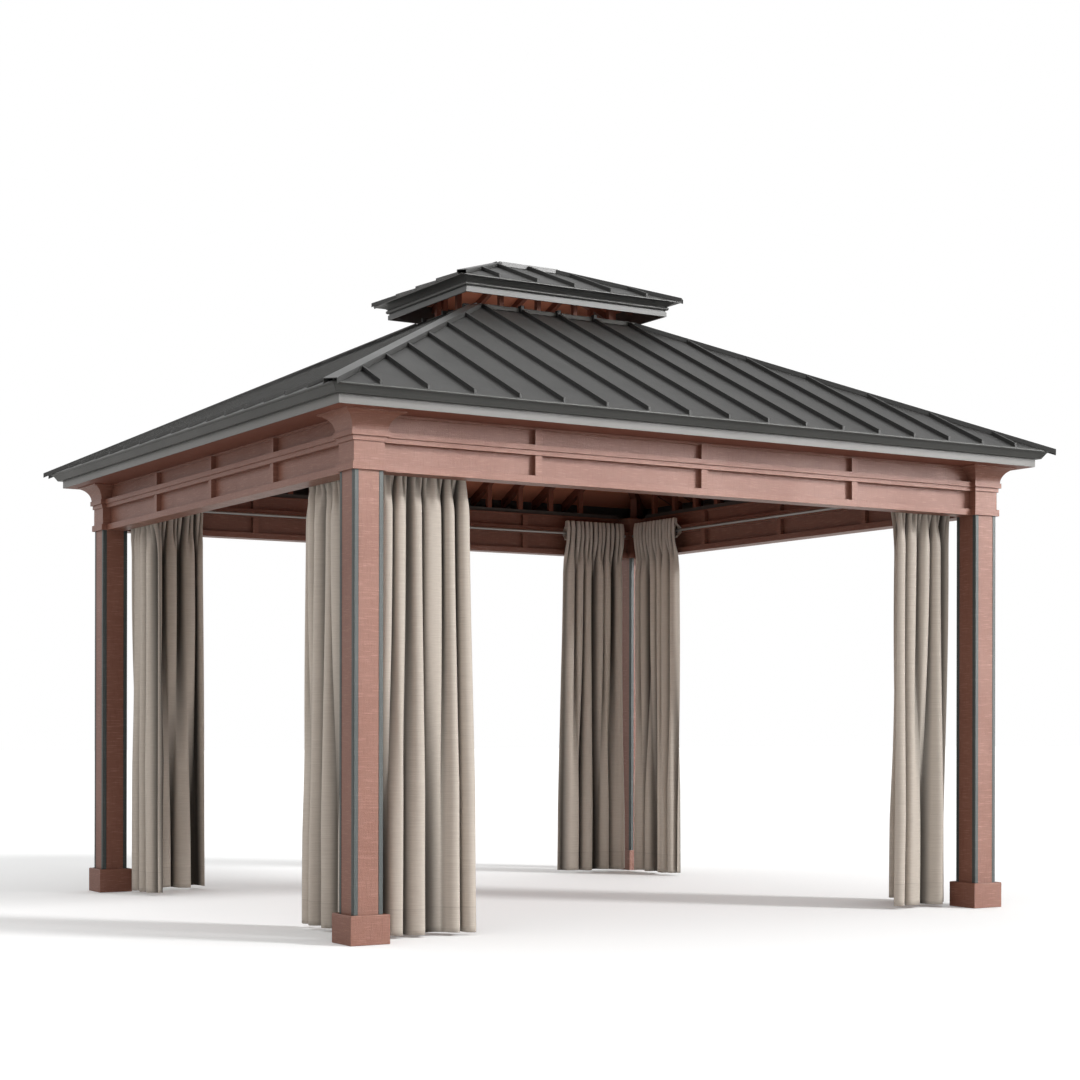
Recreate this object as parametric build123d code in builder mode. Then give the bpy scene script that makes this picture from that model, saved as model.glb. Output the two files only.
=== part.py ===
from build123d import *
from math import atan2, cos, degrees, radians, sin, sqrt, tan
import os

os.makedirs("parts", exist_ok=True)

# Hard-top metal gazebo: four panelled posts, moulded headers, a hipped standing-seam roof and a
# vented cupola. The origin is on the ground at the centre of the plan, +X runs along the long side
# and the front is -Y.

# Posts and their covers
post_centre_x = 1743.0
post_centre_y = 1566.0
post_side = 139.0
post_wall = 3.0
post_corner_radius = 4.0
corner_strip = 21.0
panel_recess = 4.0
panel_thickness = 3.0
panel_groove = 1.0
seat_gap = 0.3
foot_plate_thickness = 8.0
base_cover_side = 183.0
base_cover_height = 126.0
base_cover_wall = 7.0
base_cover_rounding = 5.0

# Headers, as heights above the ground and half widths about the post line
header_bottom = 1990.0
bottom_band_height = 32.0
lower_panel_height = 89.0
lower_strip_height = 21.0
upper_strip_height = 24.0
upper_panel_height = 69.0
top_strip_height = 11.0
bottom_band_half = 49.5
panel_half = 25.5
lower_strip_half = 55.5
upper_strip_half = 63.5
top_strip_half = 33.0
stile_width = 35.0
stile_half = 50.5
stile_pitch_x = 900.0
stile_pitch_y = 743.0

# Capitals over the posts, as projections beyond the post's faces
capital_band = 12.0
capital_panel = 3.0
capital_lower_strip = 9.5
capital_upper_strip = 19.5
capital_cove_foot = 14.5
capital_cove_head = 73.0
capital_lip_height = 6.0
header_joint_gap = 0.3

# Curtain rails and curtains
rail_radius = 9.0
rail_inset = 100.0
rail_corner_gap = 37.0
rail_bracket_width = 12.0
rail_bracket_height = 14.0
curtain_heading = 76.0
curtain_ground_gap = 14.0
curtain_top_depth = 68.0
curtain_foot_depth = 108.0
curtain_flare = 30.0
curtain_corner_cut = 12.0

# Where each curtain hangs: from the post's inner face to its near edge, and its width on the rail
curtain_spans = {
    "front_left": (28.0, 454.0),
    "front_right": (28.0, 340.0),
    "back_left": (95.0, 325.0),
    "back_right": (80.0, 435.0),
    "left_front": (97.0, 570.0),
    "left_back": (28.0, 340.0),
    "right_front": (97.0, 340.0),
    "right_back": (97.0, 460.0),
}

# Main roof
fascia_reach = 137.0
fascia_height = 39.5
gutter_reach = 53.0
gutter_floor = 22.0
gutter_height = 43.0
gutter_bead_radius = 6.5
eave_wall = 3.0
soffit_thickness = 3.0
sheet_setback = 12.0
sheet_thickness = 2.0
sheet_lift = 2.0
roof_pitch = 25.7
vent_half_depth = 313.5
seam_pitch = 222.0
seam_width = 12.0
seam_height = 20.0
hip_cap_width = 62.0
hip_cap_rise = 15.0
hip_cap_wall = 3.0
hip_cap_overhang = 20.0
hip_rafter_width = 40.0
hip_rafter_depth = 60.0
rafter_width = 30.0
rafter_depth = 50.0
shortest_rafter = 450.0
plate_side = 25.0
top_ring_width = 30.0
top_ring_below = 50.0
top_ring_above = 20.0
seam_end_back = 20.0
seam_end_front = 10.0
seam_end_width = 20.0
seam_end_height = 10.0

# Cupola
vent_gap = 24.0
cupola_fascia_reach = 116.5
cupola_fascia_height = 24.0
cupola_groove_depth = 5.0
cupola_groove_height = 8.0
cupola_bead_radius = 9.0
cupola_lip_reach = 57.0
cupola_lip_height = 4.0
cupola_cove_height = 20.0
cupola_cove_hollow = 8.0
cupola_pitch = 21.0
cupola_cap_width = 50.0
cupola_rafter_width = 25.0
cupola_rafter_depth = 35.0
cupola_leg_side = 25.0
ridge_cap_overhang = 3.0

# Worked-out heights
lower_panel_bottom = header_bottom + bottom_band_height
lower_strip_bottom = lower_panel_bottom + lower_panel_height
upper_strip_bottom = lower_strip_bottom + lower_strip_height
upper_panel_bottom = upper_strip_bottom + upper_strip_height
top_strip_bottom = upper_panel_bottom + upper_panel_height
header_top = top_strip_bottom + top_strip_height
fascia_bottom = header_top
gutter_bottom = fascia_bottom + fascia_height
lip_top = gutter_bottom + gutter_height
post_half = post_side / 2
rail_height = lower_strip_bottom + lower_strip_height / 2

# Worked-out plan sizes
fascia_half_x = post_centre_x + post_half + fascia_reach
fascia_half_y = post_centre_y + post_half + fascia_reach
lip_half_x = fascia_half_x + gutter_reach
lip_half_y = fascia_half_y + gutter_reach
sheet_half_x = lip_half_x - sheet_setback
sheet_half_y = lip_half_y - sheet_setback
sheet_edge_top = lip_top + sheet_lift
roof_slope = tan(radians(roof_pitch))
roof_run = sheet_half_y - vent_half_depth
opening_half_x = sheet_half_x - roof_run
opening_half_y = vent_half_depth
sheet_rise = sheet_thickness / cos(radians(roof_pitch))
sheet_head = sheet_edge_top + roof_run * roof_slope

cupola_fascia_half_x = opening_half_x + cupola_fascia_reach
cupola_fascia_half_y = opening_half_y + cupola_fascia_reach
cupola_fascia_bottom = sheet_head + top_ring_above + vent_gap
cupola_slope = tan(radians(cupola_pitch))
cupola_moulding_height = cupola_groove_height + 2 * cupola_bead_radius + cupola_cove_height
cupola_eave_height = cupola_fascia_height + cupola_moulding_height + cupola_lip_height
cupola_lip_half_x = cupola_fascia_half_x + cupola_lip_reach
cupola_lip_half_y = cupola_fascia_half_y + cupola_lip_reach
cupola_sheet_rise = sheet_thickness / cos(radians(cupola_pitch))
cupola_sheet_edge = cupola_fascia_bottom + cupola_eave_height + seat_gap + cupola_sheet_rise
ridge_half = cupola_lip_half_x - cupola_lip_half_y
ridge_height = cupola_sheet_edge + cupola_lip_half_y * cupola_slope

corners = {
    "front_left": (-1, -1),
    "front_right": (1, -1),
    "back_left": (-1, 1),
    "back_right": (1, 1),
}
# Each side is drawn as the front and turned about the centre: name, turn, half length, half depth
sides = [("front", 0), ("right", 90), ("back", 180), ("left", 270)]


def along(side, long_value, short_value):
    """The value that belongs to a side: the first for front and back, the second for left and right."""
    return long_value if side in ("front", "back") else short_value


def save(part, name):
    """Labels a finished piece and writes its file."""
    part.label = name
    export_step(part, f"parts/{name}.step")


def upright(x, y, angle):
    """A vertical drawing plane through (x, y), with its own x along the angle and its own y upwards."""
    a = radians(angle)
    return Plane(origin=(x, y, 0), x_dir=(cos(a), sin(a), 0), z_dir=(sin(a), -cos(a), 0))


# Posts: square extrusions with a shallow recess down each face, closed by a foot plate and a cap
with BuildPart() as post:
    with BuildSketch(Plane.XY.offset(foot_plate_thickness)):
        Rectangle(post_side, post_side)
        recess_width = post_side - 2 * corner_strip
        with PolarLocations(post_half - panel_recess / 2, 4):
            Rectangle(panel_recess, recess_width, mode=Mode.SUBTRACT)
    extrude(amount=header_top - 2 * foot_plate_thickness)
    outer_edges = post.edges().filter_by(Axis.Z).sort_by_distance((0, 0, header_top / 2))[-4:]
    fillet(outer_edges, post_corner_radius)
    with BuildSketch(Plane.XY.offset(foot_plate_thickness)):
        hollow = post_side - 2 * (panel_recess + post_wall)
        Rectangle(hollow, hollow)
    extrude(amount=header_top - 2 * foot_plate_thickness, mode=Mode.SUBTRACT)
    with BuildSketch():
        foot_side = base_cover_side - 2 * base_cover_wall - 2 * seat_gap
        Rectangle(foot_side, foot_side)
    extrude(amount=foot_plate_thickness)
    with BuildSketch(Plane.XY.offset(header_top - foot_plate_thickness)):
        Rectangle(post_side - 2 * panel_recess, post_side - 2 * panel_recess)
    extrude(amount=foot_plate_thickness)

# Inset panels: one strip in each face of a post
with BuildPart() as post_panel:
    strip_width = post_side - 2 * corner_strip - 2 * panel_groove
    strip_centre = post_half - panel_recess + panel_thickness / 2
    with BuildSketch(Plane.XY.offset(foot_plate_thickness + seat_gap)):
        with PolarLocations(strip_centre, 4):
            Rectangle(panel_thickness, strip_width)
    extrude(amount=header_top - 2 * foot_plate_thickness - 2 * seat_gap)

# Base covers: open-topped sleeves that stand on the ground round the foot plates
with BuildPart() as base_cover:
    with BuildSketch():
        Rectangle(base_cover_side, base_cover_side)
    extrude(amount=base_cover_height)
    with BuildSketch():
        Rectangle(base_cover_side - 2 * base_cover_wall, base_cover_side - 2 * base_cover_wall)
    extrude(amount=base_cover_height, mode=Mode.SUBTRACT)
    fillet(base_cover.faces().sort_by(Axis.Z)[-1].outer_wire().edges(), base_cover_rounding)


def capital_section(grow):
    """The capital's section, alike on both sides: band, plain panel, two strips, and a cove to the top."""
    band = post_half + capital_band + grow
    plain = post_half + capital_panel + grow
    lower = post_half + capital_lower_strip + grow
    upper = post_half + capital_upper_strip + grow
    foot = post_half + capital_cove_foot + grow
    head = post_half + capital_cove_head + grow
    cove_top = header_top - capital_lip_height
    with BuildSketch() as section:
        with BuildLine():
            Polyline(
                (0, header_bottom),
                (band, header_bottom),
                (band, lower_panel_bottom),
                (plain, lower_panel_bottom),
                (plain, lower_strip_bottom),
                (lower, lower_strip_bottom),
                (lower, upper_strip_bottom),
                (upper, upper_strip_bottom),
                (upper, upper_panel_bottom),
                (foot, upper_panel_bottom),
            )
            TangentArc((foot, upper_panel_bottom), (head, cove_top), tangent=(0, 1))
            Polyline((head, cove_top), (head, header_top), (0, header_top), (0, header_bottom))
        make_face()
        mirror(about=Plane.YZ)
    return section.sketch


def capital_form(grow):
    """The capital's outer form, mitred at its corners: the section along X meets the section along Y."""
    reach = post_half + capital_cove_head + grow
    with BuildPart() as form:
        with BuildSketch(Plane.XZ):
            add(capital_section(grow))
        extrude(amount=reach, both=True)
        with BuildSketch(Plane.YZ):
            add(capital_section(grow))
        extrude(amount=reach, both=True, mode=Mode.INTERSECT)
    return form.part


capital_envelope = capital_form(header_joint_gap)

# Capitals: moulded caps that close over the tops of the posts
with BuildPart() as capital:
    add(capital_form(0))
    with BuildSketch(Plane.XY.offset(header_bottom)):
        Rectangle(post_side + 2 * seat_gap, post_side + 2 * seat_gap)
    extrude(amount=header_top - header_bottom, mode=Mode.SUBTRACT)

for corner, (sx, sy) in corners.items():
    place = Location((sx * post_centre_x, sy * post_centre_y, 0))
    save(post.part.moved(place), f"post_{corner}")
    save(capital.part.moved(place), f"capital_{corner}")

post_places = [(sx * post_centre_x, sy * post_centre_y) for sx, sy in corners.values()]
with BuildPart() as post_panels:
    with Locations(*post_places):
        add(post_panel.part)
save(post_panels.part, "post_panels")

with BuildPart() as base_covers:
    with Locations(*post_places):
        add(base_cover.part)
save(base_covers.part, "base_covers")


def header(side):
    """A header beam, moulded alike inside and out, with stiles and with ends scribed to the capitals."""
    half_length = along(side, post_centre_x, post_centre_y)
    depth = along(side, post_centre_y, post_centre_x)
    pitch = along(side, stile_pitch_x, stile_pitch_y)
    levels = [
        (bottom_band_half, header_bottom, lower_panel_bottom),
        (panel_half, lower_panel_bottom, lower_strip_bottom),
        (lower_strip_half, lower_strip_bottom, upper_strip_bottom),
        (upper_strip_half, upper_strip_bottom, upper_panel_bottom),
        (panel_half, upper_panel_bottom, top_strip_bottom),
        (top_strip_half, top_strip_bottom, header_top),
    ]
    stile_heights = [(lower_panel_bottom, lower_strip_bottom), (upper_panel_bottom, top_strip_bottom)]
    with BuildPart() as beam:
        with BuildSketch(Plane.YZ):
            for half, low, high in levels:
                with Locations((-depth, (low + high) / 2)):
                    Rectangle(2 * half, high - low)
        extrude(amount=half_length, both=True)
        for low, high in stile_heights:
            with BuildSketch(Plane.XY.offset(low)):
                with Locations(*[(n * pitch, -depth) for n in (-1, 0, 1)]):
                    Rectangle(stile_width, 2 * stile_half)
            extrude(amount=high - low)
        with Locations((-half_length, -depth, 0), (half_length, -depth, 0)):
            add(capital_envelope, mode=Mode.SUBTRACT)
    return beam.part


for side, turn in sides:
    save(header(side).rotate(Axis.Z, turn), f"header_{side}")


def curtain_rail(side):
    """A round rail along the inside of a header, with three square brackets, two of them at its ends."""
    half_length = along(side, post_centre_x, post_centre_y) - rail_inset - rail_corner_gap
    depth = along(side, post_centre_y, post_centre_x)
    bracket_length = rail_inset - lower_strip_half - seat_gap
    bracket_x = half_length - rail_bracket_width / 2
    with BuildPart() as rail:
        with BuildSketch(Plane.YZ.offset(-half_length)):
            with Locations((rail_inset - depth, rail_height)):
                Circle(rail_radius)
        extrude(amount=2 * half_length)
        with BuildSketch(Plane.XZ.offset(depth - rail_inset)):
            with Locations((-bracket_x, rail_height), (0, rail_height), (bracket_x, rail_height)):
                Rectangle(rail_bracket_width, rail_bracket_height)
        extrude(amount=bracket_length)
    return rail.part


with BuildPart() as curtain_rails:
    for side, turn in sides:
        add(curtain_rail(side).rotate(Axis.Z, turn))
save(curtain_rails.part, "curtain_rails")


def curtain_outline(centre_x, centre_y, width, depth):
    """A curtain's outline seen from above: a rectangle with its corners cut off."""
    with BuildSketch() as outline:
        with Locations((centre_x, centre_y)):
            Rectangle(width, depth)
        chamfer(outline.vertices(), curtain_corner_cut)
    return outline.sketch


def curtain(side, end, near, width):
    """A gathered curtain as a plain form on its rail, deeper at the foot and flared away from the post."""
    half_length = along(side, post_centre_x, post_centre_y)
    depth = along(side, post_centre_y, post_centre_x) - rail_inset
    centre = end * (half_length - post_half - near - width / 2)
    foot_centre = centre - end * curtain_flare / 2
    curtain_top = rail_height + curtain_heading
    top = curtain_outline(centre, -depth, width, curtain_top_depth)
    foot = curtain_outline(foot_centre, -depth, width + curtain_flare, curtain_foot_depth)
    with BuildPart() as cloth:
        with BuildSketch(Plane.XY.offset(curtain_ground_gap)):
            add(foot)
        with BuildSketch(Plane.XY.offset(header_bottom)):
            add(top)
        loft(ruled=True)
        with BuildSketch(Plane.XY.offset(header_bottom)):
            add(top)
        extrude(amount=curtain_top - header_bottom)
        rail_end = half_length - rail_inset - rail_corner_gap + seat_gap
        with BuildSketch(Plane.YZ.offset(-rail_end)):
            with Locations((-depth, rail_height)):
                Circle(rail_radius + seat_gap)
        extrude(amount=2 * rail_end, mode=Mode.SUBTRACT)
        bracket_x = end * (rail_end - seat_gap - rail_bracket_width / 2)
        with BuildSketch(Plane.XY.offset(rail_height - rail_bracket_height / 2 - seat_gap)):
            with Locations((bracket_x, -depth - curtain_top_depth / 2)):
                Rectangle(rail_bracket_width + 2 * seat_gap, curtain_top_depth)
        extrude(amount=rail_bracket_height + 2 * seat_gap, mode=Mode.SUBTRACT)
    return cloth.part


# Seen from outside, the first end of a side is on its left
end_names = {
    "front": ("left", "right"),
    "right": ("front", "back"),
    "back": ("right", "left"),
    "left": ("back", "front"),
}
for side, turn in sides:
    for end, end_name in zip((-1, 1), end_names[side]):
        name = f"{side}_{end_name}"
        save(curtain(side, end, *curtain_spans[name]).rotate(Axis.Z, turn), f"curtain_{name}")


def mitre_prism(half_length, half_depth, inward, bottom, height):
    """The wedge between the two corner mitres of a side, which clips a side piece to its place."""
    with BuildPart() as prism:
        with BuildSketch(Plane.XY.offset(bottom)):
            Polygon(
                (-half_length, -half_depth),
                (half_length, -half_depth),
                (half_length - inward, -half_depth + inward),
                (-half_length + inward, -half_depth + inward),
                align=None,
            )
        extrude(amount=height)
    return prism.part


def eave(side):
    """Fascia and gutter in one run: the fascia carries the sheet, and the gutter has a rolled lip."""
    half_length = along(side, lip_half_x, lip_half_y)
    face = -along(side, fascia_half_y, fascia_half_x)
    wall_top = sheet_edge_top + (gutter_reach - sheet_setback) * roof_slope - sheet_rise - seat_gap
    points = [
        (0, fascia_bottom),
        (0, gutter_bottom),
        (-gutter_floor, gutter_bottom),
        (-gutter_reach + gutter_bead_radius, lip_top - gutter_bead_radius),
        (-gutter_reach + 2 * gutter_bead_radius, lip_top - gutter_bead_radius),
        (-gutter_floor + eave_wall, gutter_bottom + eave_wall),
        (0, gutter_bottom + eave_wall),
        (0, wall_top),
        (eave_wall, wall_top),
        (eave_wall, fascia_bottom),
    ]
    with BuildPart() as run:
        with BuildSketch(Plane.YZ):
            Polygon(*[(face + u, z) for u, z in points], align=None)
            with Locations((face - gutter_reach + gutter_bead_radius, lip_top - gutter_bead_radius)):
                Circle(gutter_bead_radius)
        extrude(amount=half_length, both=True)
        inward = gutter_reach + post_side
        wedge = mitre_prism(half_length, gutter_reach - face, inward, fascia_bottom, lip_top)
        add(wedge, mode=Mode.INTERSECT)
    return run.part


for side, turn in sides:
    save(eave(side).rotate(Axis.Z, turn), f"eave_{side}")


def soffit(side):
    """A flat closing strip from the header's top out to the fascia, with mitred ends."""
    half_length = along(side, fascia_half_x, fascia_half_y) - eave_wall - 2 * seat_gap
    outer = along(side, fascia_half_y, fascia_half_x) - eave_wall - seat_gap
    inner = along(side, post_centre_y, post_centre_x) + hip_rafter_width / sqrt(2) + seat_gap
    return mitre_prism(half_length, outer, outer - inner, header_top, soffit_thickness)


with BuildPart() as soffits:
    for side, turn in sides:
        add(soffit(side).rotate(Axis.Z, turn))
save(soffits.part, "soffits")


def seam_positions(half_length):
    """Standing seams at their pitch from the middle, as far out as the slope is long enough for one."""
    count = int((half_length - hip_cap_width) // seam_pitch)
    return [n * seam_pitch for n in range(-count, count + 1)]


def strip_on_slope(x, width, half_depth, edge_height, slope, start, end, low, high):
    """A bar up the slope at x, between two distances from the edge and two heights above the sheet."""
    with BuildPart() as strip:
        with BuildSketch(Plane.YZ.offset(x - width / 2)):
            Polygon(
                (-half_depth + start, edge_height + start * slope + low),
                (-half_depth + end, edge_height + end * slope + low),
                (-half_depth + end, edge_height + end * slope + high),
                (-half_depth + start, edge_height + start * slope + high),
                align=None,
            )
        extrude(amount=width)
    return strip.part


def seam_end(x, half_depth):
    """A small hood that carries a seam over the top ring."""
    low = sheet_head + top_ring_above + seat_gap
    edge = -half_depth + roof_run
    with BuildPart() as hood:
        with BuildSketch(Plane.YZ.offset(x - seam_end_width / 2)):
            Polygon(
                (edge - seam_end_back, sheet_head - seam_end_back * roof_slope),
                (edge - seat_gap, sheet_head),
                (edge - seat_gap, low),
                (edge + seam_end_front, low),
                (edge + seam_end_front, low + seam_end_height),
                (edge - seam_end_back, low + seam_end_height),
                align=None,
            )
        extrude(amount=seam_end_width)
    return hood.part


def roof_slope_panel(side):
    """One slope of the main roof: a flat sheet between two hips, with seams that stop at the hip caps."""
    half_length = along(side, sheet_half_x, sheet_half_y)
    half_depth = along(side, sheet_half_y, sheet_half_x)
    common = (half_depth, sheet_edge_top, roof_slope)
    with BuildPart() as panel:
        add(strip_on_slope(0, 2 * half_length, *common, 0, roof_run, -sheet_rise, 0))
        wedge = mitre_prism(half_length, half_depth, roof_run, fascia_bottom, sheet_head)
        add(wedge, mode=Mode.INTERSECT)
        cap_side = (hip_cap_width / 2 + seat_gap) * sqrt(2)
        for x in seam_positions(half_length):
            to_cap = half_length - abs(x) - cap_side - seam_width / 2
            end = min(roof_run, to_cap)
            add(strip_on_slope(x, seam_width, *common, 0, end, -sheet_rise / 2, seam_height))
            if end == roof_run:
                add(seam_end(x, half_depth))
    return panel.part


for side, turn in sides:
    save(roof_slope_panel(side).rotate(Axis.Z, turn), f"roof_{side}")


def hip_bar(corner, half_x, half_y, edge_height, slope, start, end, low, high, width):
    """A bar along a hip, between two runs from the corner and two heights above the hip line."""
    sx, sy = corner
    with BuildPart() as bar:
        with BuildSketch(upright(sx * half_x, sy * half_y, degrees(atan2(-sy, -sx)))):
            Polygon(
                (start * sqrt(2), edge_height + start * slope + low),
                (end * sqrt(2), edge_height + end * slope + low),
                (end * sqrt(2), edge_height + end * slope + high),
                (start * sqrt(2), edge_height + start * slope + high),
                align=None,
            )
        extrude(amount=width / 2, both=True)
    return bar.part


# Hip caps: channels folded over the hips, notched over the gutter lip, with ends that stand out past it
hip_cap_seat = (hip_cap_width / 2 - hip_cap_wall) / sqrt(2) * roof_slope
with BuildPart() as hip_caps:
    hip_line = (sheet_half_x, sheet_half_y, sheet_edge_top, roof_slope)
    start = -sheet_setback - hip_cap_overhang
    end = roof_run - seat_gap
    inner = hip_cap_width - 2 * hip_cap_wall
    cut_start = start - hip_cap_width
    cut_end = end + hip_cap_width
    cut_top = hip_cap_rise - hip_cap_wall
    for corner in corners.values():
        add(hip_bar(corner, *hip_line, start, end, seat_gap - hip_cap_seat, hip_cap_rise, hip_cap_width))
        hollow = hip_bar(corner, *hip_line, cut_start, cut_end, -hip_cap_width, cut_top, inner)
        add(hollow, mode=Mode.SUBTRACT)
    with BuildSketch(Plane.XY.offset(fascia_bottom)):
        Rectangle(2 * (lip_half_x + seat_gap), 2 * (lip_half_y + seat_gap))
        lip_inside = 2 * gutter_bead_radius + seat_gap
        Rectangle(2 * (lip_half_x - lip_inside), 2 * (lip_half_y - lip_inside), mode=Mode.SUBTRACT)
    extrude(amount=lip_top + seat_gap - fascia_bottom, mode=Mode.SUBTRACT)
save(hip_caps.part, "hip_caps")


def bar_along(side, half_length, depth, height, width, thickness):
    """A straight bar along a side, centred on a line at a depth from the middle, standing at a height."""
    with BuildPart() as bar:
        with BuildSketch(Plane.YZ.offset(-half_length)):
            with Locations((-depth, height + thickness / 2)):
                Rectangle(width, thickness)
        extrude(amount=2 * half_length)
    return bar.part


# Wall plates: square tubes on top of the headers, between the capitals
plate_gap = post_half + capital_cove_head + seat_gap
with BuildPart() as wall_plates:
    for side, turn in sides:
        half_length = along(side, post_centre_x, post_centre_y) - plate_gap
        depth = along(side, post_centre_y, post_centre_x)
        plate = bar_along(side, half_length, depth, header_top, plate_side, plate_side)
        add(plate.rotate(Axis.Z, turn))
save(wall_plates.part, "wall_plates")

# Rafters: common and jack rafters under the seams, and hip rafters under the hips
rafter_top = -sheet_rise - seat_gap
rafter_start = gutter_reach - sheet_setback + eave_wall + seat_gap
hip_top = -sheet_rise - hip_rafter_width / 2 / sqrt(2) * roof_slope - seat_gap
hip_bottom = hip_top - hip_rafter_depth


def rafter_positions(half_length):
    """Places along a side that carry a rafter."""
    return [x for x in seam_positions(half_length) if abs(x) < half_length - shortest_rafter]


with BuildPart() as rafters:
    for side, turn in sides:
        half_length = along(side, sheet_half_x, sheet_half_y)
        half_depth = along(side, sheet_half_y, sheet_half_x)
        common = (rafter_width, half_depth, sheet_edge_top, roof_slope, rafter_start)
        for x in rafter_positions(half_length):
            to_hip = half_length - abs(x) - rafter_width / 2 - (hip_rafter_width / 2 + seat_gap) * sqrt(2)
            end = min(roof_run - seat_gap, to_hip)
            rafter = strip_on_slope(x, *common, end, rafter_top - rafter_depth, rafter_top)
            add(rafter.rotate(Axis.Z, turn))
    for corner in corners.values():
        foot = rafter_start + hip_rafter_width / 2
        head = roof_run - hip_rafter_width / 2 - seat_gap
        add(hip_bar(corner, *hip_line, foot, head, hip_bottom, hip_top, hip_rafter_width))
save(rafters.part, "rafters")


def strut(x, width, half_depth, edge_height, slope, outer, inner, foot, head):
    """An upright at x between two distances from the edge, its head cut to the slope."""
    with BuildPart() as upright_bar:
        with BuildSketch(Plane.YZ.offset(x - width / 2)):
            Polygon(
                (-half_depth + outer, foot),
                (-half_depth + inner, foot),
                (-half_depth + inner, edge_height + head + inner * slope),
                (-half_depth + outer, edge_height + head + outer * slope),
                align=None,
            )
        extrude(amount=width)
    return upright_bar.part


def hip_strut(corner):
    """An upright on top of a post, turned to the hip, with its head cut to the hip rafter."""
    sx, sy = corner
    half = hip_rafter_width / 2
    head = sheet_edge_top + (sheet_half_x - post_centre_x) * roof_slope + hip_bottom - seat_gap
    fall = half / sqrt(2) * roof_slope
    with BuildPart() as upright_bar:
        with BuildSketch(upright(sx * post_centre_x, sy * post_centre_y, degrees(atan2(-sy, -sx)))):
            Polygon(
                (-half, header_top),
                (half, header_top),
                (half, head + fall),
                (-half, head - fall),
                align=None,
            )
        extrude(amount=half, both=True)
    return upright_bar.part


# Struts: short uprights from the wall plates to the rafters and from the post tops to the hip rafters
with BuildPart() as rafter_struts:
    for side, turn in sides:
        half_length = along(side, sheet_half_x, sheet_half_y)
        half_depth = along(side, sheet_half_y, sheet_half_x)
        outer = half_depth - along(side, post_centre_y, post_centre_x) - plate_side / 2
        common = (rafter_width, half_depth, sheet_edge_top, roof_slope, outer, outer + plate_side)
        for x in rafter_positions(half_length):
            bar = strut(x, *common, header_top + plate_side, rafter_top - rafter_depth - seat_gap)
            add(bar.rotate(Axis.Z, turn))
    for corner in corners.values():
        add(hip_strut(corner))
save(rafter_struts.part, "rafter_struts")

# Top ring: the frame round the vent, which the rafters meet and the cupola's legs stand on
with BuildPart() as top_ring:
    for side, turn in sides:
        half_length = along(side, opening_half_x, opening_half_y)
        shortened = along(side, half_length, half_length - top_ring_width - seat_gap)
        depth = along(side, opening_half_y, opening_half_x) - top_ring_width / 2
        ring_height = top_ring_below + top_ring_above
        ring_bottom = sheet_head - top_ring_below
        member = bar_along(side, shortened, depth, ring_bottom, top_ring_width, ring_height)
        add(member.rotate(Axis.Z, turn))
save(top_ring.part, "top_ring")


def cupola_eave(side):
    """Cupola eave: plain fascia, groove, half-round bead and a cove that flares out to a thin lip."""
    half_length = along(side, cupola_lip_half_x, cupola_lip_half_y)
    face = -along(side, cupola_fascia_half_y, cupola_fascia_half_x)
    lip = face - cupola_lip_reach
    groove_low = cupola_fascia_bottom + cupola_fascia_height
    groove_high = groove_low + cupola_groove_height
    bead_high = groove_high + 2 * cupola_bead_radius
    cove_high = bead_high + cupola_cove_height
    lip_high = cove_high + cupola_lip_height
    groove_back = face + cupola_groove_depth
    back = groove_back + eave_wall
    wall_top = lip_high + cupola_lip_reach * cupola_slope
    with BuildPart() as run:
        with BuildSketch(Plane.YZ):
            with BuildLine():
                Polyline((face, groove_low), (face, cupola_fascia_bottom), (back, cupola_fascia_bottom))
                Polyline((back, cupola_fascia_bottom), (back, wall_top), (face, wall_top), (lip, lip_high))
                Line((lip, lip_high), (lip, cove_high))
                SagittaArc((lip, cove_high), (face, bead_high), cupola_cove_hollow)
                RadiusArc((face, bead_high), (face, groove_high), -cupola_bead_radius)
                Polyline((face, groove_high), (groove_back, groove_high), (groove_back, groove_low))
                Line((groove_back, groove_low), (face, groove_low))
            make_face()
        extrude(amount=half_length, both=True)
        inward = 2 * cupola_lip_reach
        wedge = mitre_prism(half_length, -lip, inward, cupola_fascia_bottom, ridge_height)
        add(wedge, mode=Mode.INTERSECT)
    return run.part


for side, turn in sides:
    save(cupola_eave(side).rotate(Axis.Z, turn), f"cupola_eave_{side}")


def cupola_slope_panel(side):
    """One slope of the cupola, clear of its neighbours under the caps, with seams at the same pitch."""
    half_length = along(side, cupola_lip_half_x, cupola_lip_half_y) - seat_gap
    half_depth = along(side, cupola_lip_half_y, cupola_lip_half_x)
    run = cupola_lip_half_y - 2 * seat_gap
    common = (half_depth, cupola_sheet_edge, cupola_slope, 0)
    with BuildPart() as panel:
        add(strip_on_slope(0, 2 * half_length, *common, run, -cupola_sheet_rise, 0))
        wedge = mitre_prism(half_length, half_depth, run, cupola_fascia_bottom, ridge_height)
        add(wedge, mode=Mode.INTERSECT)
        cap_side = (cupola_cap_width / 2 + seat_gap) * sqrt(2)
        for x in seam_positions(half_length):
            to_cap = half_length - abs(x) - cap_side - seam_width / 2
            end = min(run - cupola_cap_width / 2 - seat_gap, to_cap)
            if end > 0:
                add(strip_on_slope(x, seam_width, *common, end, -cupola_sheet_rise / 2, seam_height))
    return panel.part


with BuildPart() as cupola_roof:
    for side, turn in sides:
        add(cupola_slope_panel(side).rotate(Axis.Z, turn))
save(cupola_roof.part, "cupola_roof")

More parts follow.
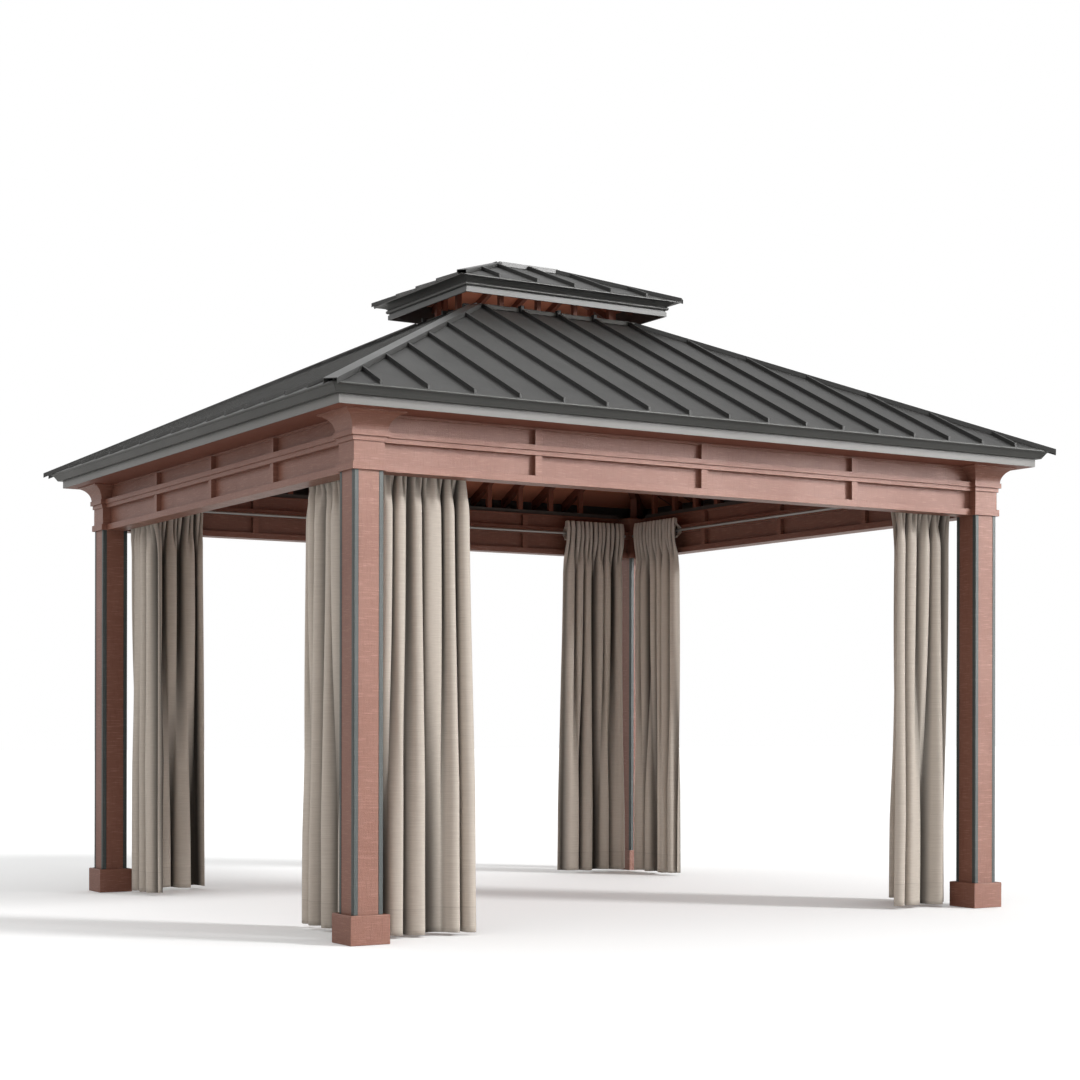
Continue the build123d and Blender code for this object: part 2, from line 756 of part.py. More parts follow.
# Cupola caps: channels over the cupola's hips, joined by the ridge channel
with BuildPart() as cupola_caps:
    hip_line = (cupola_lip_half_x, cupola_lip_half_y, cupola_sheet_edge, cupola_slope)
    inner = cupola_cap_width - 2 * hip_cap_wall
    cap_seat = seat_gap - inner / 2 / sqrt(2) * cupola_slope
    ridge_seat = seat_gap - inner / 2 * cupola_slope
    run = cupola_lip_half_y
    for corner in corners.values():
        add(hip_bar(corner, *hip_line, -ridge_cap_overhang, run, cap_seat, hip_cap_rise, cupola_cap_width))
    with BuildSketch(Plane.XY.offset(ridge_height + ridge_seat)):
        Rectangle(2 * (ridge_half + ridge_cap_overhang), cupola_cap_width)
    extrude(amount=hip_cap_rise - ridge_seat)
    cut_start = -2 * ridge_cap_overhang
    cut_bottom = -2 * hip_cap_rise
    for corner in corners.values():
        add(hip_bar(corner, *hip_line, cut_start, run, cut_bottom, cut_top, inner), mode=Mode.SUBTRACT)
    with BuildSketch(Plane.XY.offset(ridge_height - 2 * hip_cap_rise)):
        Rectangle(2 * ridge_half, inner)
    extrude(amount=3 * hip_cap_rise - hip_cap_wall, mode=Mode.SUBTRACT)
save(cupola_caps.part, "cupola_caps")

# Cupola rafters and the legs under them, which stand on the top ring
cupola_rafter_top = -cupola_sheet_rise - seat_gap
cupola_rafter_start = cupola_lip_reach + cupola_groove_depth + eave_wall + seat_gap


def cupola_rafter_positions(side):
    """Places along a side of the cupola that carry a rafter and its leg, halfway between the seams."""
    reach = along(side, opening_half_x, opening_half_y) - top_ring_width - cupola_leg_side
    count = int(reach / seam_pitch + 0.5)
    return [(n + 0.5) * seam_pitch for n in range(-count, count)]


with BuildPart() as cupola_rafters:
    for side, turn in sides:
        half_length = along(side, cupola_lip_half_x, cupola_lip_half_y)
        half_depth = along(side, cupola_lip_half_y, cupola_lip_half_x)
        common = (cupola_rafter_width, half_depth, cupola_sheet_edge, cupola_slope, cupola_rafter_start)
        for x in cupola_rafter_positions(side):
            to_ridge = cupola_lip_half_y - cupola_rafter_width - seat_gap
            to_hip = half_length - abs(x) - cupola_rafter_width - seat_gap
            low = cupola_rafter_top - cupola_rafter_depth
            rafter = strip_on_slope(x, *common, min(to_ridge, to_hip), low, cupola_rafter_top)
            add(rafter.rotate(Axis.Z, turn))
save(cupola_rafters.part, "cupola_rafters")

with BuildPart() as cupola_legs:
    for side, turn in sides:
        half_length = along(side, cupola_lip_half_x, cupola_lip_half_y)
        half_depth = along(side, cupola_lip_half_y, cupola_lip_half_x)
        ring_line = along(side, opening_half_y, opening_half_x) - top_ring_width / 2
        outer = half_depth - ring_line - cupola_leg_side / 2
        inner = outer + cupola_leg_side
        common = (cupola_leg_side, half_depth, cupola_sheet_edge, cupola_slope, outer, inner)
        for x in cupola_rafter_positions(side):
            head = cupola_rafter_top - cupola_rafter_depth - seat_gap
            leg = strut(x, *common, sheet_head + top_ring_above, head)
            add(leg.rotate(Axis.Z, turn))
save(cupola_legs.part, "cupola_legs")
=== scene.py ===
import math

import bpy
import numpy as np
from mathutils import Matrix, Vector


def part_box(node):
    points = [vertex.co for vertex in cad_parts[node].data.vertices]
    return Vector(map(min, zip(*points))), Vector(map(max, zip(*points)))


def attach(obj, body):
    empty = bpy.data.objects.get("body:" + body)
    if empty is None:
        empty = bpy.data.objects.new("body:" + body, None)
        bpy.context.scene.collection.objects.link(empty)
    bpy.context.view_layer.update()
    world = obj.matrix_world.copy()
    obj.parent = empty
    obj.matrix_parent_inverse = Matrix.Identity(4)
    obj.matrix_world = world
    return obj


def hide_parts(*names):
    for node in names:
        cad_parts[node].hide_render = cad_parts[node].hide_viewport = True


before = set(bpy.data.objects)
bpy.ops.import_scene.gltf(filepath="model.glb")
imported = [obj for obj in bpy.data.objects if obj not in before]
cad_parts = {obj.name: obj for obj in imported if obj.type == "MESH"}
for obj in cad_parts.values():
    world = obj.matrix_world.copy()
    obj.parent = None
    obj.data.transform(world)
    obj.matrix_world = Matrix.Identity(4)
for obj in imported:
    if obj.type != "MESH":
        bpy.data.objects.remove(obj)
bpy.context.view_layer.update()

# Viewpoint: a level camera beyond the front left corner at about chest height, turned towards the
# gazebo. The roof is brought into the frame by shifting the lens up, so the posts stay upright.
eye = bpy.data.cameras.new("eye")
eye.sensor_width = 36.0
eye.lens = 67.58
eye.shift_y = 0.1717
camera = bpy.data.objects.new("eye", eye)
camera.location = (-5.5328, -9.2715, 0.92)
camera.rotation_euler = (math.radians(90.0), math.radians(-0.102), math.radians(-31.228))
bpy.context.collection.objects.link(camera)
bpy.context.scene.camera = camera
bpy.context.scene.view_settings.view_transform = "Standard"

# Light: one low, soft key light from beyond the front right corner, and an even pale surround that
# fills the shaded sides. The surround is plain white to the camera, and glossy surfaces also meet a
# broad brighter patch in it beyond the front right, which lays a pale haze on the front faces.
patch_direction = (0.622, -0.771, 0.137)
patch_edge_cosine = 0.92
patch_strength = 21.0
key = bpy.data.lights.new("key", "SUN")
key.energy = 2.2
key.angle = math.radians(11.0)
key.color = (1.0, 0.985, 0.96)
key_light = bpy.data.objects.new("key", key)
key_light.rotation_euler = (math.radians(62.0), 0.0, math.radians(40.5))
bpy.context.collection.objects.link(key_light)


def arithmetic(tree, operation, *values):
    """A maths node: values are sockets or numbers."""
    step = tree.nodes.new("ShaderNodeMath")
    step.operation = operation
    for index, value in enumerate(values):
        if isinstance(value, bpy.types.NodeSocket):
            tree.links.new(value, step.inputs[index])
        else:
            step.inputs[index].default_value = value
    return step.outputs[0]


def steep(tree, value, low, high):
    """A mask that rises in a smooth step from 0 to 1 as the value goes from low to high."""
    ramp = tree.nodes.new("ShaderNodeMapRange")
    ramp.interpolation_type = "SMOOTHSTEP"
    ramp.inputs["From Min"].default_value = low
    ramp.inputs["From Max"].default_value = high
    tree.links.new(value, ramp.inputs["Value"])
    return ramp.outputs["Result"]


surround = bpy.data.worlds.new("surround")
surround.use_nodes = True
bpy.context.scene.world = surround
tree = surround.node_tree
tree.nodes.clear()
rays = tree.nodes.new("ShaderNodeLightPath").outputs
direct = arithmetic(tree, "MAXIMUM", rays["Is Camera Ray"], rays["Is Transmission Ray"])
seen = arithmetic(tree, "MAXIMUM", direct, rays["Is Glossy Ray"])
ambient = tree.nodes.new("ShaderNodeBackground")
ambient.inputs["Color"].default_value = (1.0, 0.98, 0.95, 1.0)
ambient.inputs["Strength"].default_value = 0.85
white = tree.nodes.new("ShaderNodeBackground")
white.inputs["Color"].default_value = (1.0, 1.0, 1.0, 1.0)
towards = tree.nodes.new("ShaderNodeTexCoord")
facing = tree.nodes.new("ShaderNodeVectorMath")
facing.operation = "DOT_PRODUCT"
facing.inputs[1].default_value = patch_direction
tree.links.new(towards.outputs["Generated"], facing.inputs[0])
patch = steep(tree, facing.outputs["Value"], patch_edge_cosine, 1.0)
glossy_patch = arithmetic(tree, "MULTIPLY", patch, rays["Is Glossy Ray"])
brightness = arithmetic(tree, "MULTIPLY_ADD", glossy_patch, patch_strength, 1.0)
tree.links.new(brightness, white.inputs["Strength"])
choose = tree.nodes.new("ShaderNodeMixShader")
out = tree.nodes.new("ShaderNodeOutputWorld")
tree.links.new(seen, choose.inputs[0])
tree.links.new(ambient.outputs[0], choose.inputs[1])
tree.links.new(white.outputs[0], choose.inputs[2])
tree.links.new(choose.outputs[0], out.inputs[0])

# Floor: a wide pale studio floor, a millimetre below the soles of the feet. The camera sees it
# nearly white, so that it runs into the background where nothing shades it, and what it throws up
# on the gazebo is greyer.
floor_reach = 60.0
floor_level = -0.001
floor_seen = (0.95, 0.973, 1.0, 1.0)
floor_bounce = (0.64, 0.64, 0.64, 1.0)
floor_lift = 0.06


def mixed_colour(tree, mask, first, second):
    """A colour mix node: mask, first and second are sockets or plain values."""
    mix = tree.nodes.new("ShaderNodeMix")
    mix.data_type = "RGBA"
    for index, value in ((0, mask), (6, first), (7, second)):
        if isinstance(value, bpy.types.NodeSocket):
            tree.links.new(value, mix.inputs[index])
        else:
            mix.inputs[index].default_value = value
    return mix.outputs[2]


around = ((-1, -1), (1, -1), (1, 1), (-1, 1))
floor_corners = [(x * floor_reach, y * floor_reach, floor_level) for x, y in around]
floor_mesh = bpy.data.meshes.new("floor")
floor_mesh.from_pydata(floor_corners, [], [(0, 1, 2, 3)])
floor = bpy.data.objects.new("floor", floor_mesh)
bpy.context.collection.objects.link(floor)
floor_paint = bpy.data.materials.new("floor")
floor_paint.use_nodes = True
tree = floor_paint.node_tree
shader = tree.nodes["Principled BSDF"]
shader.inputs["Roughness"].default_value = 0.9
shader.inputs["Specular IOR Level"].default_value = 0.0
by_camera = tree.nodes.new("ShaderNodeLightPath").outputs["Is Camera Ray"]
tree.links.new(mixed_colour(tree, by_camera, floor_bounce, floor_seen), shader.inputs["Base Color"])
glow = tree.nodes.new("ShaderNodeEmission")
glow.inputs["Color"].default_value = (1.0, 1.0, 1.0, 1.0)
tree.links.new(arithmetic(tree, "MULTIPLY", by_camera, floor_lift), glow.inputs["Strength"])
both = tree.nodes.new("ShaderNodeAddShader")
tree.links.new(shader.outputs[0], both.inputs[0])
tree.links.new(glow.outputs[0], both.inputs[1])
tree.links.new(both.outputs[0], tree.nodes["Material Output"].inputs["Surface"])
floor.data.materials.append(floor_paint)


# Posts: square aluminium extrusions, powder coated in grey. Only their corner strips and the floor
# of the shallow recesses show, between the panels and the ground.
def socket_group(name, inputs, outputs):
    """An empty node group with named sockets: (name, socket type, first value) each way."""
    group = bpy.data.node_groups.new(name, "ShaderNodeTree")
    for label, kind, value in inputs:
        socket = group.interface.new_socket(label, in_out="INPUT", socket_type=kind)
        if value is not None:
            socket.default_value = value
    for label, kind in outputs:
        group.interface.new_socket(label, in_out="OUTPUT", socket_type=kind)
    return group, group.nodes.new("NodeGroupInput"), group.nodes.new("NodeGroupOutput")


def stretched_noise(tree, where, scale, detail, stretch):
    """Noise whose spots are drawn out: stretch multiplies the coordinates, so a small one draws out."""
    drawn_out = tree.nodes.new("ShaderNodeMapping")
    drawn_out.inputs["Scale"].default_value = stretch
    tree.links.new(where, drawn_out.inputs["Vector"])
    noise = tree.nodes.new("ShaderNodeTexNoise")
    noise.inputs["Scale"].default_value = scale
    noise.inputs["Detail"].default_value = detail
    noise.inputs["Roughness"].default_value = 0.6
    tree.links.new(drawn_out.outputs["Vector"], noise.inputs["Vector"])
    return noise.outputs["Fac"]


# Powder coat: cloudy colour, fine pits, and a light and a dark grain that run across and upwards
cloudiness = 0.35
roughness_spread = 0.14
coat, given, made = socket_group(
    "powder_coat",
    [
        ("Colour", "NodeSocketColor", (0.5, 0.5, 0.5, 1.0)),
        ("Deep Colour", "NodeSocketColor", (0.3, 0.3, 0.3, 1.0)),
        ("Pale Colour", "NodeSocketColor", (0.7, 0.7, 0.7, 1.0)),
        ("Grain", "NodeSocketFloat", 0.3),
        ("Pits", "NodeSocketFloat", 0.2),
        ("Roughness", "NodeSocketFloat", 0.45),
        ("Edge Normal", "NodeSocketVector", None),
    ],
    [("Colour", "NodeSocketColor"), ("Roughness", "NodeSocketFloat"), ("Normal", "NodeSocketVector")],
)
own, deep, grain = given.outputs["Colour"], given.outputs["Deep Colour"], given.outputs["Grain"]
place = coat.nodes.new("ShaderNodeTexCoord").outputs["Object"]
clouds = stretched_noise(coat, place, scale=2.3, detail=3.0, stretch=(1.0, 1.0, 1.0))
across = stretched_noise(coat, place, scale=60.0, detail=4.0, stretch=(0.25, 0.25, 4.0))
upright = stretched_noise(coat, place, scale=60.0, detail=4.0, stretch=(3.0, 3.0, 0.3))
pits = stretched_noise(coat, place, scale=420.0, detail=2.0, stretch=(1.0, 1.0, 1.0))
cloudy = mixed_colour(coat, steep(coat, clouds, low=0.3, high=0.75), own, deep)
grained = mixed_colour(coat, cloudiness, own, cloudy)
pale_grain = arithmetic(coat, "MULTIPLY", steep(coat, across, low=0.5, high=0.78), grain)
dark_grain = arithmetic(coat, "MULTIPLY", steep(coat, upright, low=0.5, high=0.8), grain)
grained = mixed_colour(coat, pale_grain, grained, given.outputs["Pale Colour"])
grained = mixed_colour(coat, dark_grain, grained, deep)
coat.links.new(grained, made.inputs["Colour"])
rough = arithmetic(coat, "MULTIPLY_ADD", clouds, roughness_spread, given.outputs["Roughness"])
coat.links.new(arithmetic(coat, "SUBTRACT", rough, roughness_spread / 2.0), made.inputs["Roughness"])
height = arithmetic(coat, "MULTIPLY_ADD", across, 0.5, arithmetic(coat, "MULTIPLY", pits, 0.6))
height = arithmetic(coat, "MULTIPLY_ADD", upright, 0.4, height)
bump = coat.nodes.new("ShaderNodeBump")
bump.inputs["Distance"].default_value = 0.0012
coat.links.new(given.outputs["Pits"], bump.inputs["Strength"])
coat.links.new(height, bump.inputs["Height"])
coat.links.new(given.outputs["Edge Normal"], bump.inputs["Normal"])
coat.links.new(bump.outputs["Normal"], made.inputs["Normal"])


def coated_metal(name, colour, deep, pale, grain=0.3, pits=0.2, roughness=0.45, edge=0.0015, specular=0.5):
    """A painted metal: the powder coat group on a plain shader, with edges that catch the light."""
    material = bpy.data.materials.new(name)
    material.use_nodes = True
    tree = material.node_tree
    shader = tree.nodes["Principled BSDF"]
    rounded = tree.nodes.new("ShaderNodeBevel")
    rounded.samples = 4
    rounded.inputs["Radius"].default_value = edge
    skin = tree.nodes.new("ShaderNodeGroup")
    skin.node_tree = coat
    skin.name = "skin"
    for label, value in (("Colour", colour), ("Deep Colour", deep), ("Pale Colour", pale)):
        skin.inputs[label].default_value = (*value, 1.0)
    for label, value in (("Grain", grain), ("Pits", pits), ("Roughness", roughness)):
        skin.inputs[label].default_value = value
    tree.links.new(rounded.outputs["Normal"], skin.inputs["Edge Normal"])
    tree.links.new(skin.outputs["Colour"], shader.inputs["Base Color"])
    tree.links.new(skin.outputs["Roughness"], shader.inputs["Roughness"])
    tree.links.new(skin.outputs["Normal"], shader.inputs["Normal"])
    shader.inputs["Specular IOR Level"].default_value = specular
    return material


def finish_nodes(material, *names):
    """Puts a material on every slot of these pieces of the frame."""
    for name in names:
        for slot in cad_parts[name].material_slots:
            slot.material = material


corners = ["front_left", "front_right", "back_left", "back_right"]
sides = ["front", "right", "back", "left"]
post_coat = coated_metal(
    "post_grey",
    (0.062, 0.071, 0.070),
    (0.036, 0.044, 0.046),
    (0.130, 0.138, 0.134),
    grain=0.35,
    roughness=0.42,
    specular=0.25,
)
finish_nodes(post_coat, *[f"post_{corner}" for corner in corners])

# Panels, base covers, capitals and headers: pressed and extruded aluminium in a red-brown coat with
# a fine grain. The panels are slid into the posts and the headers are screwed up through their ends.
brown_coat = coated_metal(
    "panel_brown",
    (0.216, 0.093, 0.064),
    (0.140, 0.048, 0.031),
    (0.390, 0.205, 0.160),
    grain=0.6,
    pits=0.9,
    roughness=0.42,
    specular=0.36,
)
finish_nodes(brown_coat, "post_panels", "base_covers")
finish_nodes(brown_coat, *[f"capital_{corner}" for corner in corners])
finish_nodes(brown_coat, *[f"header_{side}" for side in sides])

# Curtain rails: thin bright steel tubes that hang on short brackets inside the headers. The wall
# plates and the top ring are plain galvanised steel, duller and in the dark under the roof.
rail_coat = coated_metal(
    "rail_grey",
    (0.36, 0.36, 0.35),
    (0.24, 0.24, 0.23),
    (0.50, 0.50, 0.48),
    grain=0.2,
    pits=0.1,
    roughness=0.3,
    edge=0.001,
)
rail_coat.node_tree.nodes["Principled BSDF"].inputs["Metallic"].default_value = 0.75
finish_nodes(rail_coat, "curtain_rails")
plate_coat = coated_metal(
    "plate_grey",
    (0.090, 0.086, 0.080),
    (0.060, 0.057, 0.052),
    (0.160, 0.155, 0.150),
    grain=0.2,
    roughness=0.5,
    specular=0.2,
)
finish_nodes(plate_coat, "wall_plates", "top_ring")

# Rafters, struts, soffits and the cupola's frame: steel in the red-brown coat. The rafters are
# bolted to the wall plates and to the top ring.
frame_coat = coated_metal(
    "frame_brown",
    (0.190, 0.066, 0.042),
    (0.130, 0.042, 0.026),
    (0.250, 0.110, 0.080),
    grain=0.25,
    roughness=0.5,
    specular=0.3,
)
finish_nodes(frame_coat, "rafters", "rafter_struts", "soffits", "cupola_rafters", "cupola_legs")

# Roof sheets and caps: folded steel sheets with standing seams, charcoal on top and red-brown
# underneath. The caps are clipped over the hips.
underside_tilt = -0.3
underside_colour = (0.56, 0.205, 0.125, 1.0)


def component(tree, vector, axis):
    """The X, Y or Z value of a vector socket."""
    split = tree.nodes.new("ShaderNodeSeparateXYZ")
    tree.links.new(vector, split.inputs[0])
    return split.outputs[axis]


def repaint_below(material, vector, level, colour):
    """Lays a plain colour over the coat wherever a vector socket's Z value is below a level."""
    tree = material.node_tree
    below = arithmetic(tree, "LESS_THAN", component(tree, vector, "Z"), level)
    painted = mixed_colour(tree, below, tree.nodes["skin"].outputs["Colour"], colour)
    tree.links.new(painted, tree.nodes["Principled BSDF"].inputs["Base Color"])


roof_coat = coated_metal(
    "roof_charcoal",
    (0.034, 0.034, 0.033),
    (0.022, 0.022, 0.022),
    (0.075, 0.075, 0.072),
    grain=0.3,
    pits=0.3,
    roughness=0.5,
    specular=0.25,
)
facing_way = roof_coat.node_tree.nodes.new("ShaderNodeNewGeometry").outputs["True Normal"]
repaint_below(roof_coat, facing_way, underside_tilt, underside_colour)
finish_nodes(roof_coat, *[f"roof_{side}" for side in sides])
finish_nodes(roof_coat, "cupola_roof")
cap_coat = coated_metal(
    "cap_charcoal",
    (0.038, 0.038, 0.037),
    (0.026, 0.026, 0.026),
    (0.090, 0.090, 0.088),
    grain=0.25,
    pits=0.3,
    roughness=0.4,
)
finish_nodes(cap_coat, "hip_caps", "cupola_caps")

# Eaves: a rolled gutter in charcoal over a pale grey fascia, in one run to each side and mitred at
# the corners. The cupola's eave is charcoal all over, a little paler than its sheets.
fascia_top = 2.2750
fascia_colour = (0.160, 0.157, 0.152, 1.0)
eave_coat = coated_metal(
    "eave_grey",
    (0.068, 0.069, 0.067),
    (0.044, 0.045, 0.043),
    (0.130, 0.130, 0.126),
    grain=0.2,
    pits=0.15,
    roughness=0.36,
    specular=0.2,
)
place = eave_coat.node_tree.nodes.new("ShaderNodeTexCoord").outputs["Object"]
repaint_below(eave_coat, place, fascia_top, fascia_colour)
finish_nodes(eave_coat, *[f"eave_{side}" for side in sides])
cupola_coat = coated_metal(
    "cupola_trim",
    (0.085, 0.085, 0.083),
    (0.055, 0.055, 0.054),
    (0.150, 0.150, 0.146),
    grain=0.2,
    pits=0.15,
    roughness=0.36,
    specular=0.3,
)
finish_nodes(cupola_coat, *[f"cupola_eave_{side}" for side in sides])

# Curtains: panels of linen-look polyester, gathered on the rails through a sewn pocket with a short
# frill above it, and drawn back to the posts. The foot has a deep stitched hem.
curtain_drop = 2.1835
hem_depth = 0.110
pocket_depth = 0.045
fullness = 1.85
cloth_thickness = 0.0014
rail_level = 2.1215
rail_clearance = 0.0105
leaf_clearance = 0.0012
fold_pitches = (0.036, 0.082, 0.125)
fold_unevenness = 1.5
deepest_at_rail = 0.022
deepest_above = 0.029
deepest_margin = 0.010
shallowest = 0.004
side_margin = 0.006
top_narrowing = 0.030
gathers_drop = 0.25
side_edge = 0.05
columns = 221


def smooth_step(values):
    """A smooth step: 0 up to 0, 1 from 1 on, and a cubic blend between them."""
    part = np.clip(values, 0.0, 1.0)
    return part * part * (3.0 - 2.0 * part)


def smooth_row(random, count):
    """A smooth random curve from -1 to 1: count random values joined by a cubic blend."""
    knots = random.uniform(-1.0, 1.0, count)
    at = np.linspace(0.0, count - 1.0, columns)
    low = np.minimum(at.astype(int), count - 2)
    part = smooth_step(at - low)
    return (knots[low] * (1.0 - part) + knots[low + 1] * part)[None, :]


def fold_phase(random, folds):
    """The running angle of a row of folds of uneven width: a steady rise plus a smooth random sway."""
    steady = np.linspace(0.0, 2.0 * np.pi * folds, columns)[None, :]
    return steady + fold_unevenness * smooth_row(random, folds + 2) + random.uniform(0.0, 6.28)


def sideways(angle, upright, broad):
    """A fold's sway to the side: upright times a wave of twice its angle, broad times one of its angle."""
    return upright * np.sin(2.0 * angle) + broad * np.cos(angle)


def gathered_cloth(seed, lean, top_width, foot_width, drop, frill, flat_width, folds, depth_limits):
    """Points of a hanging sheet, as rows down the drop and columns across it.

    Three rows of folds, fine at the pocket, middling in the body and broad at the foot, are waves in
    depth whose angles rise unevenly across the sheet. They fade into each other down the drop. Each
    row also sways sideways, at twice the wave's angle, which stands the folds' flanks upright, and
    at the angle itself, which makes the crests broad and the valleys narrow. The waves of each row
    are made deeper or shallower until it is as long as the flat cloth is wide. The sheet goes up
    behind the rail, over the frill's edge and down in front of the rail. The last array is painted
    shade for the folds: 0 on their crests and 1 in their valleys, fading out at the sheet's side edges.
    """
    random = np.random.default_rng(seed)
    back = np.linspace(frill + pocket_depth, 0.004, 16)
    gathers = np.linspace(0.0, gathers_drop, 44)
    below = gathers_drop + (drop - gathers_drop) * np.linspace(0.0, 1.0, 76)[1:]
    front = np.concatenate([gathers, below])
    down = np.concatenate([back, front])[:, None]
    leaf = np.concatenate([-np.ones(back.size), np.ones(front.size)])[:, None]
    across = np.linspace(0.0, 1.0, columns)[None, :]
    share = down / drop
    fine, body, broad = (fold_phase(random, count) for count in folds)
    drift = 0.5 * smooth_row(random, 5) * share
    body = body + drift
    broad = broad + drift * 2.0
    uneven = 1.0 + 0.28 * smooth_row(random, 9)
    sway = 0.006 * smooth_row(random, 4) * share
    edge = 0.004 * smooth_row(random, 7) * share**6
    to_body = smooth_step((down - frill) / 0.30)
    to_broad = smooth_step((share - 0.18) / 0.75)
    in_gathers = 1.0 - to_body
    in_body = to_body * (1.0 - to_broad)
    in_foot = to_body * to_broad
    wave = in_gathers * np.sin(fine)
    wave = wave + in_body * np.sin(body) * uneven
    wave = wave + in_foot * (np.sin(broad) + 0.22 * np.sin(body)) * uneven
    curl = in_gathers * sideways(fine, 0.10, 0.10)
    curl = curl + in_body * sideways(body, 0.17, 0.22)
    curl = curl + in_foot * sideways(broad, 0.17, 0.24)
    width = top_width + (foot_width - top_width) * share
    depth_limit = depth_limits[0] + (depth_limits[1] - depth_limits[0]) * to_broad
    fade = np.where(leaf > 0.0, 0.16, 0.04)
    near_rail = smooth_step(1.0 - (np.abs(down - frill) - 0.012) / fade)
    reach = np.full_like(down, 0.012)
    for _ in range(16):
        x = (across - 0.5) * width + lean * (foot_width - width) / 2.0 - reach * curl
        free = reach * wave + leaf * leaf_clearance
        held = leaf * (rail_clearance + 0.5 * np.minimum(reach, deepest_at_rail) * (1.0 + wave))
        y = free * (1.0 - near_rail) + held * near_rail
        length = np.hypot(np.diff(x, axis=1), np.diff(y, axis=1)).sum(axis=1, keepdims=True)
        wanted = np.clip(flat_width**2 - width**2, 1e-6, None)
        grow = np.sqrt(wanted / np.clip(length**2 - width**2, 1e-6, None))
        reach = np.clip(reach * grow, shallowest, depth_limit)
    ripple = 0.0012 * np.sin(43.0 * down + 5.0 * np.sin(6.0 * np.pi * across) + seed) * in_gathers
    flat_x, flat_y = np.broadcast_arrays(across * flat_width, down)
    inside = np.clip(np.minimum(across, 1.0 - across) / side_edge, 0.0, 1.0)
    # Painted shade: 0 on the folds' crests, rising to 1 down in their valleys; the linen darkens its colour
    # by it
    valley_shade = np.clip((0.5 - wave) / 1.3, 0.0, 1.0) ** 1.2 * inside
    return x, y + sway + ripple, edge - down, flat_x, flat_y, valley_shade


def cloth_object(name, x, y, z, flat_x, flat_y, valley_shade):
    """A mesh of quads over the points: the flat cloth's metres as UV, the painted shade of the folds'
    valleys as a value.
    """
    rows = x.shape[0]
    corner = (np.arange(rows - 1)[:, None] * columns + np.arange(columns - 1)[None, :]).ravel()
    quads = np.stack([corner, corner + columns, corner + columns + 1, corner + 1], axis=1)
    mesh = bpy.data.meshes.new(name)
    mesh.from_pydata(np.stack([x, y, z], axis=-1).reshape(-1, 3).tolist(), [], quads.tolist())
    flat = np.stack([flat_x, flat_y], axis=-1).reshape(-1, 2)
    layer = mesh.uv_layers.new(name="flat")
    layer.data.foreach_set("uv", flat[quads.ravel()].astype(np.float32).ravel())
    mesh.polygons.foreach_set("use_smooth", np.ones(len(quads), dtype=bool))
    depth = mesh.attributes.new("valley_shade", "FLOAT", "POINT")
    depth.data.foreach_set("value", valley_shade.astype(np.float32).ravel())
    mesh.update()
    piece = bpy.data.objects.new(name, mesh)
    bpy.context.collection.objects.link(piece)
    return piece


# Woven cloth: fine threads both ways with thicker slubs along the weft, in the flat cloth's metres
weave, given, made = socket_group(
    "slub_weave",
    [
        ("Colour", "NodeSocketColor", (0.5, 0.45, 0.4, 1.0)),
        ("Thread Colour", "NodeSocketColor", (0.3, 0.27, 0.24, 1.0)),
        ("Strength", "NodeSocketFloat", 0.5),
    ],
    [("Colour", "NodeSocketColor"), ("Height", "NodeSocketFloat")],
)


def flat_place(tree):
    """The place on the flat cloth, in metres, from its UV map."""
    flat = tree.nodes.new("ShaderNodeUVMap")
    flat.uv_map = "flat"
    return flat.outputs[0]


place = flat_place(weave)
weft = stretched_noise(weave, place, scale=1.0, detail=3.0, stretch=(22.0, 700.0, 1.0))
warp = stretched_noise(weave, place, scale=1.0, detail=2.0, stretch=(700.0, 14.0, 1.0))
slub = stretched_noise(weave, place, scale=1.0, detail=4.0, stretch=(9.0, 260.0, 1.0))
threads = arithmetic(weave, "MULTIPLY_ADD", weft, 0.6, arithmetic(weave, "MULTIPLY", warp, 0.4))
slubbed = arithmetic(weave, "MULTIPLY_ADD", slub, 0.5, arithmetic(weave, "MULTIPLY", threads, 0.5))
shown = arithmetic(weave, "MULTIPLY", steep(weave, slubbed, low=0.38, high=0.62), given.outputs["Strength"])
woven = mixed_colour(weave, shown, given.outputs["Colour"], given.outputs["Thread Colour"])
weave.links.new(woven, made.inputs["Colour"])
weave.links.new(threads, made.inputs["Height"])

# Linen: the weave with a faint hem and its seam, with painted shade in the valleys of the folds, and
# thin enough to let some light through
hem_colour = (0.30, 0.26, 0.22, 1.0)
seam_colour = (0.16, 0.135, 0.11, 1.0)
# The dark colour of the painted shade laid into the folds' valleys
painted_valley_colour = (0.085, 0.073, 0.062, 1.0)
half_seam = 0.0022
hem_share = 0.04
seam_share = 0.12
light_through = 0.36
linen = bpy.data.materials.new("curtain_linen")
linen.use_nodes = True
tree = linen.node_tree
shader = tree.nodes["Principled BSDF"]
threads = tree.nodes.new("ShaderNodeGroup")
threads.node_tree = weave
threads.inputs["Colour"].default_value = (0.78, 0.720, 0.655, 1.0)
threads.inputs["Thread Colour"].default_value = (0.62, 0.56, 0.50, 1.0)
threads.inputs["Strength"].default_value = 0.6
from_seam = arithmetic(tree, "SUBTRACT", component(tree, flat_place(tree), "Y"), curtain_drop - hem_depth)
seam = arithmetic(tree, "LESS_THAN", arithmetic(tree, "ABSOLUTE", from_seam), half_seam)
hem = arithmetic(tree, "GREATER_THAN", from_seam, 0.0)
valley_shade_fac = tree.nodes.new("ShaderNodeAttribute")
valley_shade_fac.attribute_name = "valley_shade"
faint_hem = arithmetic(tree, "MULTIPLY", hem, hem_share)
faint_seam = arithmetic(tree, "MULTIPLY", seam, seam_share)
cloth = mixed_colour(tree, faint_hem, threads.outputs["Colour"], hem_colour)
cloth = mixed_colour(tree, faint_seam, cloth, seam_colour)
